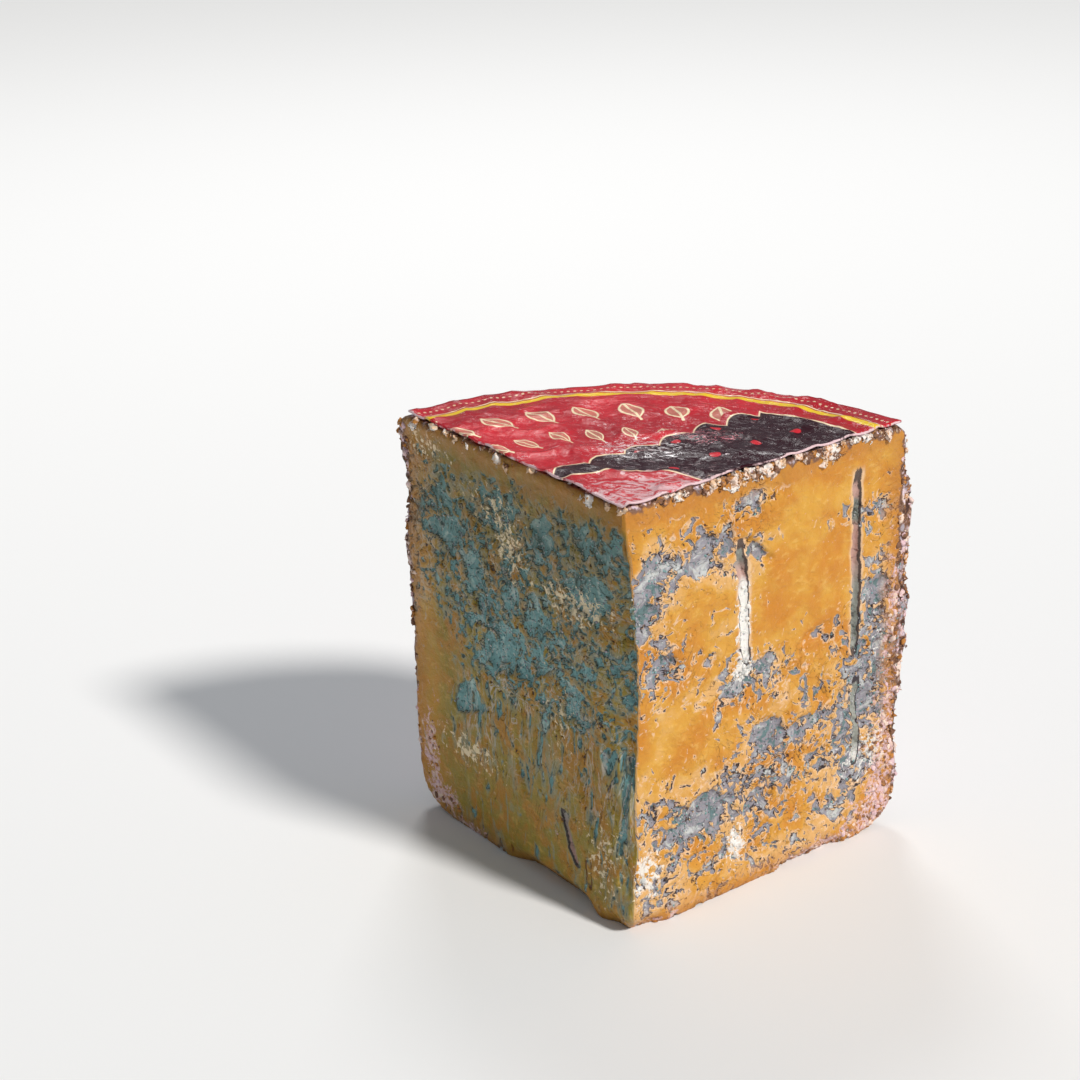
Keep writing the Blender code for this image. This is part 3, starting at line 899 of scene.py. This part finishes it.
def crust_colours():
    """The knobby crust under its pale bloom, from a place and how far it is a rim."""
    tree, nodes, given, result = new_group(
        "bloomy_crust", "ShaderNodeTree", {"Place": "Vector", "Rim": "Float"},
        {"Color": "Color", "Height": "Float"})
    place = given["Place"]
    level = nodes.vector("MULTIPLY", place, (1.0, 1.0, 2.6))
    clouds = ramp(texture(level, 0.024, 6.0, 0.68, 0.6), 0.4, 0.6)
    smooth = mix(clouds, BLOOM_MAUVE, BLOOM)
    strokes = texture(level, 0.0046, 4.0, 0.7, 0.5)
    smooth = mix(ramp(strokes, 0.54, 0.68, 0.0, 0.5), smooth, BLOOM_GREY)

    fine = texture(place, 0.003, 4.0, 0.7, 0.5)
    knobs = cells(nodes.vector("ADD", place, (0.003, 0.001, 0.002)), 0.0021)
    pitted = knobs + (fine - 0.5) * 1.6
    tones = texture(place, 0.006, 3.0, 0.7, 0.6)
    knob = mix(ramp(tones, 0.42, 0.5), BLOOM_GREY, BLOOM)
    knob = mix(ramp(tones, 0.52, 0.58), knob, BLOOM_PINK)
    rough = mix(ramp(pitted, 0.26, 0.66), knob, CRUST_BROWN)
    rough = mix(ramp(pitted, 0.66, 0.86), rough, CRUST_DARK)
    nodes.put(result["Color"], mix(given["Rim"], smooth, rough))
    nodes.put(result["Height"], blend(given["Rim"], fine * -0.5, pitted * -1.0))
    return tree


def wedge_finish(mould, paste, crust):
    """Paste with its mould on the cuts, and the crust in section and outside."""
    material, nodes, shader = new_material("blue_cheese")
    place = stored(nodes, "rest", "Vector")
    left, on_cut, needle, growth = [stored(nodes, name) for name in ("left", "paste", "needle", "growth")]
    grown = nodes.group(mould, place, growth, stored(nodes, "pocket"), left)
    x, y, z = nodes.parts(place)
    radius = from_origin(x, y + ORIGIN_BEHIND_TIP)

    # The paste, more olive on the left and darker there with painted shade, with cracks and pits
    halo = most(blend(left, grown["Halo"], grown["Fuzz"]), stored(nodes, "lip"))
    olive_and_shade = left * ramp(radius, 0.086, 0.096, 0.92, 0.45)
    ground = nodes.group(paste, place, olive_and_shade, growth, halo)
    # Cracks darkened, partly mould and partly painted shade in them
    colour = mix(grown["Cracks"] * 0.7, ground["Color"], MOULD_OUTLINE_AND_SHADE)
    pit = mix(ramp(growth, 0.36, 0.5), PIT_BROWN, PIT_DARK)
    colour = mix(grown["Pits"] * 0.88, colour, pit)

    # The mould's patches: pale lilac on the right, sea green on the left
    tone = grown["Tone"]
    dim = ramp(tone, 0.34, 0.48)
    lilac = mix(dim, MOULD_PALE, MOULD_LILAC)
    lilac = mix(grown["Deep"] * ramp(tone, 0.5, 0.56, 0.0, 0.85), lilac, MOULD_TEAL)
    sea = mix(dim, MOULD_DEEP, MOULD_SEA)
    sea = mix(ramp(tone, 0.54, 0.66), sea, MOULD_MIST)
    blue = mix(left, lilac, sea)
    colour = mix(blend(left, grown["Patch"], grown["Soft"]), colour, blue)
    # Cracks through the patches, dark partly with painted shade
    colour = mix(grown["Cracks"] * grown["Patch"] * 0.6, colour, MOULD_OUTLINE_AND_SHADE)
    threads = grown["Wisps"] * (left * ramp(z, 0.075, 0.05, 0.45, 0.85))
    colour = mix(threads, colour, MOULD_THREAD)
    # Dark outlines round the patches, partly mould and partly painted shade at the pockets' edges
    colour = mix(grown["Outline"] * blend(left, 0.95, 0.4), colour, MOULD_OUTLINE_AND_SHADE)
    # Painted shade: the left cut darker towards its top
    top_shade = left * ramp(z, 0.07, 0.118, 0.0, 0.34)
    colour = mix(top_shade, colour, OLIVE_TOP_SHADE)
    flecks = texture(place, 0.0017, 3.0, 0.6, 0.6)
    white = stored(nodes, "white") * 0.42 + flecks
    pale = mix(left, WHITE_MOULD, WHITE_CREAM)
    colour = mix(ramp(white, 0.7, 0.8, 0.0, 0.9), colour, pale)

    # The rind in section: golden, then brown, with a ragged line
    inside = WHEEL_RADIUS - radius
    below = WHEEL_HEIGHT - z + left * 0.0014
    depth = least(least(inside, below), z + 0.0022)
    depth = depth + (texture(place, 0.0042, 4.0, 0.65, 0.5) - 0.5) * 0.0075
    golden = ramp(depth, 0.0095, 0.0028, 0.0, 0.75) * blend(left, 1.0, 0.7)
    colour = mix(golden, colour, CRUST_GOLD)
    brown = ramp(depth, 0.0026, 0.0012) * blend(left, 1.0, 0.6)
    colour = mix(brown, colour, CRUST_BROWN)

    # The crust outside, rough near the film and the base, and its bloom over the cuts' edges
    high = z + (texture(place, 0.012, 5.0, 0.75, 0.6) - 0.5) * 0.06
    upper_rim = ramp(high, WHEEL_HEIGHT - 0.02, WHEEL_HEIGHT - 0.01)
    rim = most(upper_rim, ramp(high, 0.02, 0.01))
    outside = nodes.group(crust, place, most(rim, on_cut))
    bloom = most(ramp(depth, 0.0012, 0.0002), 1.0 - on_cut)
    colour = mix(bloom, colour, outside["Color"])
    spread = (texture(place, 0.0032, 5.0, 0.75, 0.8) - 0.5) * 3.6
    spread = ramp(stored(nodes, "bloomed") + spread, 0.5, 0.85)
    powder = mix(ramp(flecks, 0.36, 0.5), CRUST_GOLD, BLOOM_MAUVE)
    powder = mix(ramp(flecks, 0.52, 0.64), powder, BLOOM_PINK)
    colour = mix(spread * 0.85, colour, powder)

    # The needle holes: a dark outline, partly painted shade at their edges, a paler floor and a plug where
    # the mould is white
    wander = (needle + (flecks - 0.5) * 0.5) * ramp(needle, 0.0, 0.08)
    colour = mix(ramp(wander, 0.02, 0.1, 0.0, 0.92), colour, MOULD_OUTLINE_AND_SHADE)
    fill = mix(ramp(growth, 0.36, 0.5), NEEDLE_BROWN, NEEDLE_GREY)
    colour = mix(ramp(wander, 0.34, 0.52), colour, fill)
    plug = ramp(wander, 0.3, 0.45) * ramp(stored(nodes, "white"), 0.45, 0.6)
    colour = mix(plug, colour, WHITE_MOULD)

    dry = most(grown["Patch"], bloom)
    height = ground["Grain"] - grown["Patch"] * 1.2
    height = height - grown["Cracks"] * 0.8
    height = height - grown["Pits"] * 0.8
    height = blend(bloom, height, outside["Height"])
    nodes.feed(shader, {
        "Base Color": colour, "Roughness": ramp(dry, 0.0, 1.0, 0.42, 0.85),
        "Normal": bumpy(nodes, height), "Specular IOR Level": 0.32, "Subsurface Weight": 0.08,
        "Subsurface Radius": (1.0, 0.6, 0.25), "Subsurface Scale": 0.003})
    return material


def film_finish():
    """The printed film: rings, a scalloped dark band, dots and leaves round the wheel's centre."""
    material, nodes, shader = new_material("printed_film")
    place = object_place(nodes)
    x, y = nodes.parts(nodes.vector("SUBTRACT", place, TIP + LABEL_SHIFT))[:2]
    radius = from_origin(x, y)
    angle = nodes.math("ARCTAN2", x, y)
    leftward = (x + LABEL_SHIFT.x) * -1.0
    backward = y + LABEL_SHIFT.y
    from_right = (backward + leftward) * math.sqrt(0.5)
    from_left = (backward - leftward) * math.sqrt(0.5)
    fade = ramp(texture(place, 0.03, 3.0, 0.6), 0.35, 0.65)
    colour = mix(fade, FILM_RED_DEEP, FILM_RED)

    # The dark band along the right cut, with scallops, a pale outline and red dots
    wave = abs(nodes.math("SINE", from_left * (math.pi / SCALLOP)))
    field = most(from_right - wave * SCALLOP_DEPTH, BAND_NEAR + BAND_WIDTH - radius)
    field = most(field, radius - (BAND_FAR - BAND_WIDTH)) - BAND_WIDTH
    dark = ramp(field, 0.0002, -0.0002)
    outline = ramp(field, 0.0008, 0.0005) - dark
    colour = mix(dark, colour, FILM_DARK)
    colour = mix(most(outline, 0.0), colour, FILM_CREAM)
    row = nodes.math("PINGPONG", from_left + 0.002, DOT_ROW)
    column = nodes.math("PINGPONG", from_right + 0.004, DOT_COLUMN)
    dots = ramp(from_origin(row, column), 0.0018, 0.0014)
    colour = mix(dots * ramp(field, -0.003, -0.0036), colour, FILM_RED)

    # Two rows of leaves, outlined, with a vein and a faint fill
    around = nodes.math("FRACT", angle * (LEAVES / (2 * math.pi))) - 0.5
    sideways = around * (2 * math.pi * LEAF_RADIUS / LEAVES)
    for reach, length, width in LEAF_ROWS:
        outward = radius - reach
        along = (outward - sideways * LEAF_TILT) / length
        across = abs((sideways + outward * LEAF_TILT) / width)
        leaf = across + along ** 2.0
        vein = ramp(across, 0.16, 0.08) * band(along, -0.15, 1.15, 0.03)
        drawn = most(band(leaf, 0.9, 0.11, 0.05), vein)
        drawn = most(drawn, ramp(leaf, 0.92, 0.86, 0.0, 0.22))
        colour = mix(drawn * ramp(field, 0.003, 0.0036), colour, FILM_CREAM)

    # The rings and the beads near the rim
    for reach, half_width, soft, ring_colour in FILM_RINGS:
        colour = mix(band(radius, reach, half_width, soft), colour, ring_colour)
    beads = nodes.math("PINGPONG", angle * BEAD_RADIUS, BEAD_GAP)
    from_bead = from_origin(beads, radius - BEAD_RADIUS)
    colour = mix(ramp(from_bead, 0.0006, 0.0003, 0.0, 0.8), colour, FILM_CREAM)

    # Wear along the cut edges, near the tip and where the film is crinkled; the pale marks near the tip and
    # on the crinkles are partly painted highlights
    ragged = (texture(place, 0.005, 3.0, 0.7) - 0.5) * 0.004
    edge = least(from_right, from_left) + ragged
    colour = mix(ramp(edge, 0.0008, 0.0002), colour, FILM_SCUFF_AND_SHEEN)
    # Pale scuffs: partly real wear, partly painted highlights on the film's wrinkles
    scuffs_and_glints = texture(nodes.vector("MULTIPLY", place, (1.0, 2.2, 1.0)), 0.0045, 4.0, 0.7, 1.2)
    scuffs_and_glints = scuffs_and_glints + ramp(from_origin(x - 0.01, y), 0.014, 0.04, 0.2, 0.0)
    colour = mix(ramp(scuffs_and_glints, 0.62, 0.75, 0.0, 0.8), colour, FILM_SCUFF_AND_SHEEN)
    crinkles = texture(nodes.vector("MULTIPLY", place, (1.0, 2.0, 1.0)), 0.0026, 4.0, 0.75, 1.6)
    # Painted sheen and glints of light on the crinkles, at the spots listed
    for right, back, reach, gain, wear_and_glint_colour in FILM_WEAR_AND_GLINTS:
        away = from_origin((x - right) * 0.6, y - back)
        worn = crinkles + ramp(away, 0.3 * reach, reach, gain, 0.0)
        colour = mix(ramp(worn, 0.66, 0.7, 0.0, 0.9), colour, wear_and_glint_colour)
    folds = texture(place, 0.0035, 4.0, 0.65, 1.4)
    nodes.feed(shader, {"Base Color": colour, "Roughness": 0.13, "Specular IOR Level": 0.22,
                        "Normal": bumpy(nodes, folds)})
    return material


def lump_finish(name, colours, roughness):
    """Small lumps whose colour differs from one to the next."""
    material, nodes, shader = new_material(name)
    speck = texture(object_place(nodes), 0.0008, 2.0)
    mixed = stored(nodes, "tint") + (speck - 0.5) * 0.6
    colour = colours[0]
    for step, following in enumerate(colours[1:], 1):
        middle = step / len(colours)
        colour = mix(ramp(mixed, middle - 0.08, middle + 0.08), colour, following)
    rough = ramp(speck, 0.3, 0.7, roughness - 0.1, roughness + 0.1)
    nodes.feed(shader, {"Base Color": colour, "Roughness": rough})
    return material


# The film

def crinkle(points):
    """How far the film has lifted in folds."""
    fold = np.abs(noise_at(points, CRINKLE_SIZE, (0.4, 7.7, 0)))
    fine = np.abs(noise_at(points, FINE_CRINKLE_SIZE, (3.4, 0.7, 0)))
    high = LABEL_CRINKLE * (1 - np.minimum(1.0, 2.5 * fold)) ** 2
    return high + FINE_CRINKLE * (1 - np.minimum(1.0, 2.5 * fine)) ** 2


def film_edge(points):
    """Draws the film's edge in with the waves of the cuts, so that it ends over the paste."""
    moved = points.copy()
    for side in (-1, 1):
        from_cut = -(moved - np.array(TIP)) @ cut_normal(side)
        share = smooth_step(0.008, 0.0, from_cut)
        wave = CUT_WAVE * noise_at(moved, CUT_WAVE_SIZE, (side, 3.1, 0.7))
        moved += np.outer(share * (wave - 0.0004), cut_normal(side))
    return moved


def film_piece(finish):
    """The film as a fan of narrow strips from the tip, closed and as thick as the solid's."""
    shape = bmesh.new()
    tip = shape.verts.new(TIP)
    rows = []
    for column in range(LABEL_COLUMNS + 1):
        turn = (column / LABEL_COLUMNS - 0.5) * WEDGE_TURN
        outward = Vector((math.sin(turn), math.cos(turn), 0))
        reach = LABEL_RADIUS + LABEL_SHIFT.dot(outward)
        rows.append([shape.verts.new(TIP + outward * reach * row / LABEL_ROWS)
                     for row in range(1, LABEL_ROWS + 1)])
    for near, far in zip(rows, rows[1:]):
        shape.faces.new((tip, far[0], near[0]))
        for row in range(LABEL_ROWS - 1):
            shape.faces.new((near[row], far[row], far[row + 1], near[row + 1]))
    bmesh.ops.recalc_face_normals(shape, faces=shape.faces)
    mesh = as_mesh(shape, "printed_film")
    piece = show("printed_film", mesh)
    points = film_edge(numbers(mesh, "co"))
    points[:, 2] = WHEEL_HEIGHT + LABEL_LIFT + crinkle(points)
    mesh.vertices.foreach_set("co", points.astype(np.float32).ravel())
    mesh.update()
    if sum(face.normal.z for face in mesh.polygons) < 0:
        mesh.flip_normals()
    thick = piece.modifiers.new("film", "SOLIDIFY")
    thick.thickness = LABEL_THICKNESS
    thick.offset = 1.0
    apply_modifiers(piece)
    piece.data.shade_smooth()
    piece.data.materials.append(finish)
    return piece


# The studio

def place_camera():
    camera = bpy.data.objects.new("camera", bpy.data.cameras.new("camera"))
    camera.data.sensor_width = SENSOR
    camera.data.sensor_fit = "HORIZONTAL"
    camera.data.lens = FOCAL_SHARE * SENSOR
    camera.data.clip_end = 20
    turn = Matrix.Rotation(CAMERA_AZIMUTH, 4, "Z") @ Matrix.Rotation(math.pi / 2 - CAMERA_DOWN, 4, "X")
    roll = Matrix.Rotation(CAMERA_ROLL, 4, "Z")
    camera.matrix_world = Matrix.Translation(TIP + CAMERA_FROM_TIP) @ turn @ roll
    bpy.context.scene.collection.objects.link(camera)
    bpy.context.scene.camera = camera


def add_light(name, kind, direction, distance, **settings):
    """A light that stands in a direction from the wedge and shines at its middle."""
    light = bpy.data.objects.new(name, bpy.data.lights.new(name, kind))
    for setting, value in settings.items():
        setattr(light.data, setting, value)
    target = Vector((0, 0, 0.5 * WHEEL_HEIGHT))
    away = Vector(direction).normalized()
    light.location = target + away * distance
    light.rotation_euler = away.to_track_quat("Z", "Y").to_euler()
    bpy.context.scene.collection.objects.link(light)


def studio():
    """A pale floor, a soft key from the right, a weak fill and a softbox behind for the film's gloss."""
    shape = bmesh.new()
    bmesh.ops.create_grid(shape, x_segments=1, y_segments=1, size=9)
    floor = show("floor", as_mesh(shape, "floor"))
    material, nodes, shader = new_material("pale_floor")
    nodes.feed(shader, {"Base Color": (0.86, 0.86, 0.86, 1), "Roughness": 0.9})
    floor.data.materials.append(material)

    add_light("key", "SUN", (0.64, -0.37, 0.67), 3, energy=3.1, angle=math.radians(9),
              color=(1.0, 0.97, 0.93))
    add_light("gloss", "AREA", (-0.15, 0.8, 0.9), 1.6, energy=6.0, size=0.4)
    world = bpy.data.worlds.new("studio")
    world.use_nodes = True
    world.node_tree.nodes["Background"].inputs["Color"].default_value = (0.86, 0.93, 1.0, 1)
    world.node_tree.nodes["Background"].inputs["Strength"].default_value = 0.24
    bpy.context.scene.world = world
    bpy.context.scene.view_settings.view_transform = "Standard"


def set_down(piece):
    """Brings what the relief has pushed under the base back up to it."""
    for vertex in piece.data.vertices:
        vertex.co.z = max(vertex.co.z, 0.0)


def strew(name, tree, ground, **sizes):
    """A piece of small lumps strewn over the ground piece, as a plain mesh of its own."""
    piece = show(name, ground.data.copy())
    add_tree(piece, tree, **sizes)
    apply_modifiers(piece)
    set_down(piece)
    piece.data.shade_smooth()
    return piece


def build():
    mould_relief = grow_mould("GeometryNodeTree")
    mould_colour = grow_mould("ShaderNodeTree")
    finish = wedge_finish(mould_colour, paste_colours(), crust_colours())

    wedge = wedge_skin()
    add_tree(wedge, relief_tree(mould_relief), patch_depth=0.0008, pit_depth=0.0006, crack_depth=0.0004,
             grain_height=0.0003, crust_height=0.0011, finish=finish)
    apply_modifiers(wedge)
    set_down(wedge)
    wedge.data.shade_smooth()

    film = film_piece(film_finish())

    lumps = scatter_tree()
    looks = {
        "pearls": lump_finish("crust_pearls",
                              (CREAM, WHITE_MOULD, BLOOM_PINK, CRUST_GOLD, CRUST_BROWN), 0.5),
        "blooms": lump_finish("bloom_crumbs", (BLOOM_MAUVE, BLOOM_PINK, CRUST_GOLD, CRUST_BROWN), 0.7),
        "tufts": lump_finish("mould_tufts", (MOULD_LILAC, MOULD_PALE, MOULD_TEAL, MOULD_SEA), 0.8),
        "whites": lump_finish("white_mould", (WHITE_MOULD, MOULD_PALE, WHITE_MOULD), 0.7),
    }
    for name, look, *sizes in STREWN:
        piece = strew(name, lumps, wedge, finish=looks[look], **dict(zip(STREW_INPUTS, sizes)))
        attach(piece, "root")

    for piece, node, slot in ((wedge, "cheese", "cheese"), (film, "label", "label_print")):
        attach(piece, "root")
        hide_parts(node)


build()
studio()
place_camera()
